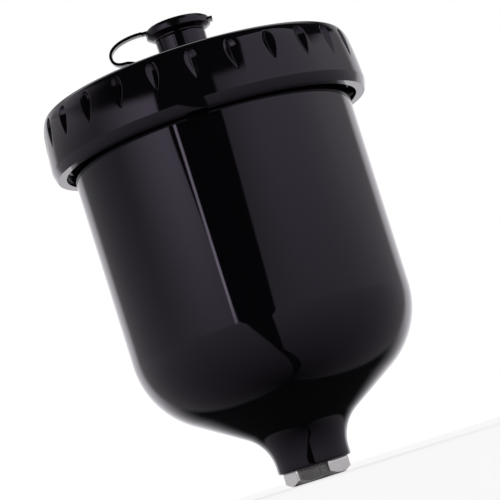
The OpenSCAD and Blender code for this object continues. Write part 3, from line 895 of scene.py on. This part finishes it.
def woven_sleeve(s, material):
    """Rings and upright strands round a cone."""
    middle = s.strand * 0.5
    tree = Tree("woven_sleeve", {
        "Low": s.low, "High": s.high, "Low Radius": s.low_radius - middle,
        "High Radius": s.high_radius - middle, "Rings": s.rings, "Uprights": s.strands,
        "Strand": s.strand / 2})
    flow = tree.flow

    def circle(radius, corners):
        return flow.node("GeometryNodeCurvePrimitiveCircle", {
            "Resolution": corners, "Radius": radius}, "Curve", mode="RADIUS")

    def strand_end(end):
        return flow.xyz(X=tree[end + " Radius"] - tree["Strand"], Z=tree[end])

    span = tree["High"] - tree["Low"]
    line = flow.node("GeometryNodeMeshLine", {
        "Count": tree["Rings"], "Start Location": flow.xyz(Z=tree["Low"]),
        "Offset": flow.xyz(Z=span / (tree["Rings"] - 1.0))}, mode="OFFSET")
    height, = flow.parts(flow.node("GeometryNodeInputPosition"), "Z")
    rise = (height - tree["Low"]) / span
    radius = tree["Low Radius"] + (tree["High Radius"] - tree["Low Radius"]) * rise
    rings = flow.node("GeometryNodeInstanceOnPoints", {
        "Points": line, "Instance": circle(1.0, 48),
        "Scale": flow.xyz(X=radius, Y=radius, Z=1.0)})
    upright = flow.node("GeometryNodeCurvePrimitiveLine", {
        "Start": strand_end("Low"), "End": strand_end("High")}, mode="POINTS")
    spots = flow.node("GeometryNodeMeshLine", {
        "Count": tree["Uprights"], "Offset": (0.0, 0.0, 0.0)}, mode="OFFSET")
    index = flow.node("GeometryNodeInputIndex")
    uprights = flow.node("GeometryNodeInstanceOnPoints", {
        "Points": spots, "Instance": upright,
        "Rotation": flow.xyz(Z=index / tree["Uprights"] * FULL)})
    joined = flow.node("GeometryNodeJoinGeometry", {0: uprights})
    flow.tree.links.new(rings.socket, joined.socket.node.inputs[0])
    strands = flow.node("GeometryNodeRealizeInstances", {0: joined})
    tubes = flow.node("GeometryNodeCurveToMesh", {
        "Curve": strands, "Profile Curve": circle(tree["Strand"], 5), "Fill Caps": True})
    tree.end(tubes, material)
    seed = bpy.data.meshes.new("sleeve seed")
    seed.from_pydata([(0.0, 0.0, 0.0)], [], [])
    return tree.run("strainer_weave", seed, None)


# The lid


def lid_side(lid):
    """The lid's outside, from the crease over the top edge to the rim."""
    crease = (lid.outer - 0.1 * MM, lid.crease)
    top_r = lid.outer - lid.flare
    edge_z = lid.top - lid.edge
    pull = (edge_z - lid.crease) * 0.35
    low = bezier(crease, (crease[0] - pull * math.tan(lid.lean_low), lid.crease + pull),
                 (top_r + pull * math.tan(lid.lean_high), edge_z - pull),
                 (top_r, edge_z), 42)
    pull = lid.edge * 0.53
    high = bezier((top_r, edge_z),
                  (top_r - pull * math.tan(lid.lean_high), edge_z + pull),
                  (top_r - lid.edge_width * 0.4, lid.top),
                  (top_r - lid.edge_width, lid.top), 26)
    return low + high[1:]


def rim_inside(lid):
    """Radius of the step inside the lid's raised rim."""
    return lid.outer - lid.flare - lid.edge_width - lid.rim_width


def grip_outline(lid):
    """The notched outer part of the lid, closed inside its wall."""
    out = lid_side(lid)
    step = rim_inside(lid)
    out += [(step + 0.8 * MM, lid.top)]
    back = lid.inner + 1.1 * MM
    visible = len(out)
    out += [(step + 0.8 * MM, lid.top - 0.5 * MM), (back, lid.top - 0.9 * MM),
            (back, lid.crease + 1.2 * MM), (lid.outer - 1.2 * MM, lid.crease + 0.1 * MM)]
    return out, [1.0] * visible + [0.0] * (len(out) - visible)


def core_outline(lid, gasket_inner, t):
    """The rest of the lid: skirt's end, crown, boss, underside and inner thread."""
    step = rim_inside(lid)
    low_z = lid.top - lid.step
    span = step - lid.crown_foot
    fillet = lid.crown_foot - lid.collar
    back = lid.inner + 0.9 * MM
    flat = lid.outer - 1.2 * MM
    out = [(lid.inner + 0.6 * MM, lid.bottom), (lid.inner + 0.7 * MM, lid.bottom)]
    out += straight(out[-1], (flat - 0.08 * MM, lid.bottom), 6)
    out += bezier((flat, lid.bottom), (flat + 0.3 * MM, lid.bottom + 0.35 * MM),
                  (lid.outer - 0.35 * MM, lid.crease - 1.6 * MM),
                  (lid.outer - 0.1 * MM, lid.crease), 20)
    out += [(lid.outer - 1.2 * MM, lid.crease + 0.3 * MM), (back, lid.crease + 1.4 * MM),
            (back, lid.top - 1.1 * MM), (step + 0.9 * MM, lid.top - 0.6 * MM),
            (step + 0.8 * MM, lid.top)]
    out += bezier((step + 0.7 * MM, lid.top), (step + 0.4 * MM, lid.top),
                  (step + 0.4 * MM, low_z), (step, low_z), 8)
    out += bezier((step - 1 * MM, low_z),
                  (step - span * 0.38, low_z + (lid.crown - low_z) * 0.17),
                  (lid.crown_foot + span * 0.22, lid.crown - 0.5 * MM),
                  (lid.crown_foot, lid.crown), 24)
    out += bezier((lid.crown_foot, lid.crown),
                  (lid.collar + fillet / 3, lid.crown + fillet / 6),
                  (lid.collar, lid.crown + fillet / 2),
                  (lid.collar, lid.crown + fillet), 8)[1:]
    boss_foot = lid.boss - 0.15 * MM
    out += [(lid.collar, lid.collar_top - 0.3 * MM),
            (lid.collar - 0.09 * MM, lid.collar_top - 0.09 * MM),
            (lid.collar - 0.3 * MM, lid.collar_top), (boss_foot, lid.collar_top),
            (lid.boss - 0.14 * MM, lid.collar_top + 0.3 * MM),
            (lid.boss - 0.01 * MM, lid.boss_top - 0.7 * MM),
            (lid.boss, lid.boss_top - 0.4 * MM),
            (lid.boss - 0.12 * MM, lid.boss_top - 0.12 * MM),
            (lid.boss - 0.4 * MM, lid.boss_top),
            (lid.vent + 0.3 * MM, lid.boss_top), (lid.vent, lid.boss_top - 0.3 * MM),
            (lid.vent, lid.under), (lid.vent + 3 * MM, lid.under)]
    out += bezier((lid.crown_foot, lid.under),
                  (lid.crown_foot + span * 0.22, lid.under - 0.2 * MM),
                  (step - span * 0.38, lid.seat + (lid.under - lid.seat) * 0.17),
                  (gasket_inner - 0.8 * MM, lid.seat), 20)
    out += [(lid.inner, lid.seat)]
    plain = len(out)
    high = t.low + t.lead * (t.sweep - LID_RIDGE_SHORT) / FULL + 2.2 * MM
    low = lid.bottom + 1.1 * MM
    steps = int((high - low) / THREAD_STEP)
    band = [(lid.inner, high + (low - high) * i / steps) for i in range(steps + 1)]
    out += band + [(lid.inner + 0.3 * MM, lid.bottom)]
    return out, [0.0] * plain + [1.0] * len(band) + [0.0]


# Powers by which a notch widens from its foot and closes at its round top
NOTCH_GROW = 1.1
NOTCH_CLOSE = 0.5
# Share of a notch's columns on each side of it, and share of the side they cover
EDGE_COLUMNS, EDGE_WIDTH = 5 / 36, 0.31


def notch_columns(tree, column):
    """Spreads the columns so that they crowd where the notches are."""
    each = tree["Each"]
    at = column / each
    group = at.math("FLOOR")
    at = at - group
    few, wide = EDGE_COLUMNS, EDGE_WIDTH
    inside = (at - few).limit(0.0, 1 - 2 * few)
    place = (at.math("MINIMUM", few) * (wide / few)
             + inside * ((1 - 2 * wide) / (1 - 2 * few))
             + (at - (1 - few)).limit() * (wide / few))
    pitch = FULL / tree["Notches"]
    return (group + place - 0.5) * pitch, place


def notched(tree, radius, height, angle, group, relief):
    """Cuts the finger notches: a valley whose depth follows a leaf's outline."""
    pitch = FULL / tree["Notches"]
    rise = ((height - tree["Foot"]) / tree["Height"]).limit()
    widest = NOTCH_GROW / (NOTCH_GROW + NOTCH_CLOSE)
    full = widest ** NOTCH_GROW * (1 - widest) ** NOTCH_CLOSE
    leaf = rise ** NOTCH_GROW * (1.0 - rise) ** NOTCH_CLOSE / full
    depth = leaf * tree["Depth"]
    across = (group - 0.5) * pitch * radius
    round_off = 0.12 * MM
    across = (across * across + round_off ** 2) ** 0.5 - round_off
    slope = tree["Depth"] / (tree["Width"] / 2.0)
    cut = (depth - across * slope).math("SMOOTH_MAX", 0.0, 0.12 * MM)
    inside = rise.step(0.0, 0.04) * (1.0 - rise.step(0.97, 1.0))
    return radius - cut * relief * inside


class PAINTCUP_OT_lid(bpy.types.Operator):
    """Make the lid: the notched grip, and the crown, boss and inner thread"""

    bl_idname = "paintcup.lid"
    bl_label = "Lid"

    def execute(self, context):
        scene = context.scene
        lid, t = scene.paint_cup_lid, scene.paint_cup_thread
        material = finishes(scene)["lid"]
        points, weights = grip_outline(lid)
        grip = turned(
            "lid_grip", points, material, lid.notches * lid.columns,
            {"Notches": float(lid.notches), "Each": float(lid.columns),
             "Foot": lid.notch_low, "Height": lid.notch_height,
             "Width": lid.notch_width, "Depth": lid.notch_depth},
            notched, weights, 35.0, notch_columns)
        grip.data.transform(Matrix.Rotation(lid.notch_turn - math.pi / 2, 4, "Z"))
        points, weights = core_outline(lid, GASKET_INNER, t)
        core = turned(
            "lid_crown", points, material, 288,
            thread_sizes(t, -LID_RIDGE_SHORT / 2, t.sweep - LID_RIDGE_SHORT),
            lambda tree, radius, height, angle, group, relief:
                radius - ridge(tree, height, angle, relief, math.pi / 2),
            weights)
        for part in (grip, core):
            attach(part, "lid")
            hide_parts("lid_shell")
        dress("drip_check", finishes(scene)["soft"])
        dress("lid_gasket", finishes(scene)["rubber"])
        return {"FINISHED"}


# The vent cap, its ring and its strap


def bar(name, low, high, material, bevel):
    """A bar with rounded edges between two corners."""
    mesh = bpy.data.meshes.new(name)
    corners = [(x, y, z) for x in (low[0], high[0]) for y in (low[1], high[1])
               for z in (low[2], high[2])]
    mesh.from_pydata(corners, [], [
        (0, 1, 3, 2), (4, 6, 7, 5), (0, 4, 5, 1),
        (2, 3, 7, 6), (0, 2, 6, 4), (1, 5, 7, 3)])
    mesh.materials.append(material)
    obj = set_down(name, mesh)
    soften = obj.modifiers.new("Rounded edges", "BEVEL")
    soften.width = bevel
    soften.segments = 4
    return applied(obj, name, SOFT_CREASE)


def applied(obj, name, crease):
    """The plain piece that an object's modifiers make."""
    depsgraph = bpy.context.evaluated_depsgraph_get()
    mesh = bpy.data.meshes.new_from_object(obj.evaluated_get(depsgraph))
    bpy.data.objects.remove(obj)
    return piece(name, mesh, crease)


def united(name, parts):
    """Fuses pieces into one closed mesh."""
    first, *others = parts
    for other in others:
        fuse = first.modifiers.new("Fuse " + other.name, "BOOLEAN")
        fuse.operation = "UNION"
        fuse.solver = "EXACT"
        fuse.object = other
    whole = applied(first, name, 32.0)
    for other in others:
        bpy.data.objects.remove(other)
    return whole


def vent_cap(cap, material):
    wall = cap.plug - cap.plug_wall
    rest = 158.5 * MM  # where the cap sits on the boss
    outline = rounded([
        (cap.plug, cap.plug_low + 0.5 * MM, 0.3 * MM),
        (cap.plug, rest, 0.0), (cap.hub, rest, 0.15 * MM),
        (cap.hub, cap.under, 0.3 * MM),
        (cap.radius - 1.8 * MM, cap.under, 0.5 * MM),
        (cap.radius, cap.edge, 0.35 * MM), (cap.radius, cap.top, 0.5 * MM)])
    peak = cap.top + cap.crown
    crown = bezier((cap.radius - 1.2 * MM, cap.top), (cap.radius * 0.6, peak),
                   (cap.radius * 0.3, peak), (0.0, peak), 14)
    inside = rounded([
        (0.0, rest, 0.0), (wall, rest, 0.4 * MM), (wall, cap.plug_low, 0.0),
        (cap.plug - 0.4 * MM, cap.plug_low, 0.0)])
    disc = turned("cap disc", outline + crown + inside, material, 160, crease=30.0)
    half = cap.strap_width / 2
    lug = bar("cap lug", (-cap.reach, -half, cap.top - cap.strap),
              (-cap.radius + 1.5 * MM, half, cap.top), material, 0.2 * MM)
    tab_z = cap.edge + 1 * MM
    tab = bar("cap tab", (0.0, -cap.tab_width / 2, tab_z),
              (cap.tab, cap.tab_width / 2, tab_z + 0.8 * MM), material, 0.25 * MM)
    whole = united("vent_cap_soft", [disc, lug, tab])
    for v in whole.data.vertices:
        lift = min(max((v.co.z - 158.6 * MM) / (1.2 * MM), 0.0), 1.0)
        v.co.z -= (max(v.co.x, -cap.radius) * cap.lean + cap.sink) * lift
    return whole


def strap_ring(cap, material, foot):
    soft = 0.2 * MM
    ring = turned("ring band", rounded([
        (cap.ring_outer, foot, soft), (cap.ring_outer, foot + cap.ring, soft),
        (cap.ring_inner, foot + cap.ring, soft), (cap.ring_inner, foot, soft)]),
        material, 128, crease=SOFT_CREASE)
    half = cap.strap_width / 2
    lug = bar("ring lug", (-cap.reach, -half, foot),
              (-cap.ring_outer + 1.2 * MM, half, foot + cap.ring), material, soft)
    return united("strap_ring_soft", [ring, lug])


def strap(cap, material, foot):
    """The strap, swept along its line from the ring's lug to the cap's."""
    low = foot + cap.ring / 2
    bend = (-cap.bend, cap.bend_z)
    run = (4.4 * MM - cap.bend, cap.run)
    line = [(-cap.reach + 0.6 * MM, low)]
    line += bezier((-cap.reach, low), (-cap.reach - 3 * MM, low),
                   (run[0] + 2.5 * MM, run[1] - 0.2 * MM), run, 10)[:-1]
    line += bezier(run, (1.3 * MM - cap.bend, cap.run - 0.05 * MM),
                   (-cap.bend, cap.bend_z - 2 * MM), bend, 12)
    line += bezier(bend, (-cap.bend, cap.bend_z + 4 * MM), (-18 * MM, cap.top + 0.2 * MM),
                   (-cap.reach + 0.4 * MM, cap.top - 0.2 * MM), 18)[1:]
    tree = Tree("strap_sweep", {
        "Width": cap.strap_width, "Thickness": cap.strap, "Edge": 0.25 * MM})
    flow = tree.flow
    path = flow.node("GeometryNodeMeshToCurve", {"Mesh": tree["Geometry"]})
    section = flow.node("GeometryNodeCurvePrimitiveQuadrilateral", {
        "Width": tree["Width"], "Height": tree["Thickness"]}, mode="RECTANGLE")
    section = flow.node("GeometryNodeFilletCurve", {
        "Curve": section, "Radius": tree["Edge"]})
    swept = flow.node("GeometryNodeCurveToMesh", {
        "Curve": path, "Profile Curve": section, "Fill Caps": True})
    tree.end(swept, material)
    return tree.run("cap_strap_soft", line_mesh("strap line", line), SOFT_CREASE)


class PAINTCUP_OT_cap(bpy.types.Operator):
    """Make the vent cap, its ring and the strap between them"""

    bl_idname = "paintcup.cap"
    bl_label = "Vent Cap"

    def execute(self, context):
        scene = context.scene
        cap = scene.paint_cup_cap
        material = finishes(scene)["soft"]
        foot = scene.paint_cup_lid.collar_top
        cover = vent_cap(cap, material)
        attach(cover, "cap")
        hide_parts("vent_cap")
        ring = strap_ring(cap, material, foot)
        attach(ring, "strap")
        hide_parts("strap_ring")
        band = strap(cap, material, foot)
        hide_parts("cap_strap")
        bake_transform(band)
        return {"FINISHED"}


# The stage


# Light of the room, the two soft boxes in front, the backdrop and the floor
ROOM, LEFT_BOX, RIGHT_BOX, BACKDROP, GROUND = 0.3, 1.0, 0.5, 1.2, 0.45
# Height of the boxes' top edge, and how much higher the right one is in its middle
BOX_TOP, BOX_RISE = 20.0, 28.0
# The sides of the dark gap between the boxes, by the angle above the horizon
GAP_LEFT = ((-80, 20), (-45, 0), (0, -18), (10, -30))
GAP_RIGHT = ((-80, 40), (-45, 5), (0, 3), (10, 13))
# Light that the darkest direction still gives
LEAST_LIGHT = 0.02
# How brightly the camera sees the floor shine by itself
FLOOR_GLOW = 0.68
# The floor lies a hair under the nut's seat face
FLOOR_Z = -0.02 * MM


def by_angle(angle, table):
    """Looks an angle in degrees up in a table of (angle, value)."""
    first, last = table[0][0], table[-1][0]
    least = min(v for _, v in table)
    most = max(v for _, v in table)
    stops = [((a - first) / (last - first), (v - least) / (most - least))
             for a, v in table]
    found = angle.flow.ramp((angle - first) / (last - first), stops)
    return found * (most - least) + least


def between(value, low, high, soft):
    """1 between two limits, with soft ends."""
    return (value - low).step(-soft, soft) * (high - value).step(-soft, soft)


def studio_light(flow, level):
    """Brightness of the studio in each direction, from the cup.

    Angles are in degrees, round the cup from the camera and above the horizon.
    """
    x, y, z = flow.parts(
        flow.node("ShaderNodeTexCoord", output="Generated"), "X", "Y", "Z")
    around = x.math("ARCTAN2", -y) * (180 / math.pi)
    rise = z.math("ARCSINE") * (180 / math.pi)
    away = abs(around)
    left = between(around, -60.0, -15.0, 25.0) * LEFT_BOX
    right = between(around, 20.0, 120.0, 25.0) * RIGHT_BOX
    boxes = left + right + ROOM
    ground = (rise / 90.0 + 1.0).limit() * GROUND
    lit = ground + (boxes - ground) * rise.step(0.0, 12.0)
    top = between(around, 43.0, 94.0, 6.0) * BOX_RISE + BOX_TOP
    lit = lit * (top - rise).step(-1.5, 1.5)
    gap = ((around - by_angle(rise, GAP_LEFT)).step(-1.0, 1.0)
           * (by_angle(rise, GAP_RIGHT) - around).step(-1.0, 1.0))
    lit = lit * (1.0 - gap)
    behind = between(rise, -20.0, 20.0, 15.0) * BACKDROP
    lit = lit + (behind - lit) * away.step(136, 146)
    line = between(around, -26.0, -24.0, 0.5) * between(rise, 4.0, 12.0, 2.0) * 3.0
    high = away.step(128, 140) * between(rise, 40.0, 64.0, 8.0) * 1.2
    fill = between(around, -150.0, -90.0, 25.0) * between(rise, 20.0, 45.0, 8.0) * 0.6
    return (lit + line + high + fill + LEAST_LIGHT) * level


class PAINTCUP_OT_stage(bpy.types.Operator):
    """Set the floor, the studio's light and the camera"""

    bl_idname = "paintcup.stage"
    bl_label = "Stage"

    def execute(self, context):
        scene = context.scene
        stage = scene.paint_cup_stage
        self.camera(scene, stage)
        self.floor(stage)
        self.studio(scene, stage)
        scene.view_settings.view_transform = "Standard"
        return {"FINISHED"}

    @staticmethod
    def camera(scene, stage):
        data = bpy.data.cameras.new("Camera")
        data.lens = stage.lens
        data.sensor_width = 36.0
        data.clip_start = 0.01
        camera = set_down("Camera", data)
        facing = (Matrix.Rotation(-stage.heading, 4, "Z")
                  @ Matrix.Rotation(math.pi / 2 + stage.pitch, 4, "X")
                  @ Matrix.Rotation(stage.roll, 4, "Z"))
        camera.matrix_world = Matrix.Translation(
            (0.0, -stage.distance, stage.height)) @ facing
        scene.camera = camera

    @staticmethod
    def floor(stage):
        rings, sides = 12, 96
        points = [(0.0, 0.0, FLOOR_Z)]
        for k in range(1, rings + 1):
            points += [(x, y, FLOOR_Z) for x, y in arc(
                0.0, 0.0, stage.floor * (k / rings) ** 2, 0, 360, sides)[:-1]]
        faces = [(0, 1 + i, 1 + (i + 1) % sides) for i in range(sides)]
        for a in range(1, 1 + (rings - 1) * sides, sides):
            b = a + sides
            faces += [(a + i, b + i, b + (i + 1) % sides, a + (i + 1) % sides)
                      for i in range(sides)]
        mesh = bpy.data.meshes.new("floor")
        mesh.from_pydata(points, [], faces)
        floor = set_down("floor", mesh)
        material = bpy.data.materials.new("Pale floor")
        flow = blank_flow(material)
        grain = flow.noise(
            flow.node("ShaderNodeTexCoord", output="Object"), 30.0, 3.0)
        matt = flow.node("ShaderNodeBsdfDiffuse", {
            "Color": flow.mix(grain, (0.86, 0.86, 0.86, 1), (0.9, 0.9, 0.9, 1))})
        lit = flow.node("ShaderNodeEmission", {
            "Color": (1, 1, 1, 1),
            "Strength": flow.node("ShaderNodeLightPath", output="Is Camera Ray")
            * FLOOR_GLOW})
        flow.end("ShaderNodeOutputMaterial",
                 flow.node("ShaderNodeAddShader", {0: matt, 1: lit}))
        mesh.materials.append(material)
        floor.visible_glossy = False

    @staticmethod
    def studio(scene, stage):
        scene.world = bpy.data.worlds.new("Studio")
        flow = blank_flow(scene.world)
        seen = flow.node("ShaderNodeLightPath", output="Is Camera Ray")
        light = flow.node("ShaderNodeBackground", {
            "Color": (0.985, 0.965, 1.0, 1.0),
            "Strength": studio_light(flow, stage.level)})
        white = flow.node("ShaderNodeBackground", {"Color": (1, 1, 1, 1)})
        flow.end("ShaderNodeOutputWorld",
                 flow.node("ShaderNodeMixShader", {0: seen, 1: light, 2: white}))


OPERATORS = (PAINTCUP_OT_body, PAINTCUP_OT_outlet, PAINTCUP_OT_strainer,
             PAINTCUP_OT_lid, PAINTCUP_OT_cap, PAINTCUP_OT_stage)


class PAINTCUP_PT_sidebar(bpy.types.Panel):
    """Lists the cup's pieces and their sizes."""

    bl_idname = "PAINTCUP_PT_sidebar"
    bl_label = "Paint Cup"
    bl_space_type = "VIEW_3D"
    bl_region_type = "UI"
    bl_category = "Paint Cup"

    def draw(self, context):
        for operator in OPERATORS:
            self.layout.operator(operator.bl_idname)
        for name, group in PROPERTY_GROUPS.items():
            box = self.layout.box()
            box.label(text=group.__doc__.rstrip("."))
            for size in group.__annotations__:
                box.prop(getattr(context.scene, name), size)


def register():
    for name, group in PROPERTY_GROUPS.items():
        bpy.utils.register_class(group)
        setattr(bpy.types.Scene, name, bpy.props.PointerProperty(type=group))
    for cls in (*OPERATORS, PAINTCUP_PT_sidebar):
        bpy.utils.register_class(cls)


def unregister():
    for cls in reversed((*OPERATORS, PAINTCUP_PT_sidebar)):
        bpy.utils.unregister_class(cls)
    for name, group in reversed(PROPERTY_GROUPS.items()):
        delattr(bpy.types.Scene, name)
        bpy.utils.unregister_class(group)


def main():
    register()
    for operator in OPERATORS:
        group, name = operator.bl_idname.split(".")
        if getattr(getattr(bpy.ops, group), name)() != {"FINISHED"}:
            raise RuntimeError(f"{operator.bl_label} didn't finish")


if __name__ == "__main__":
    main()
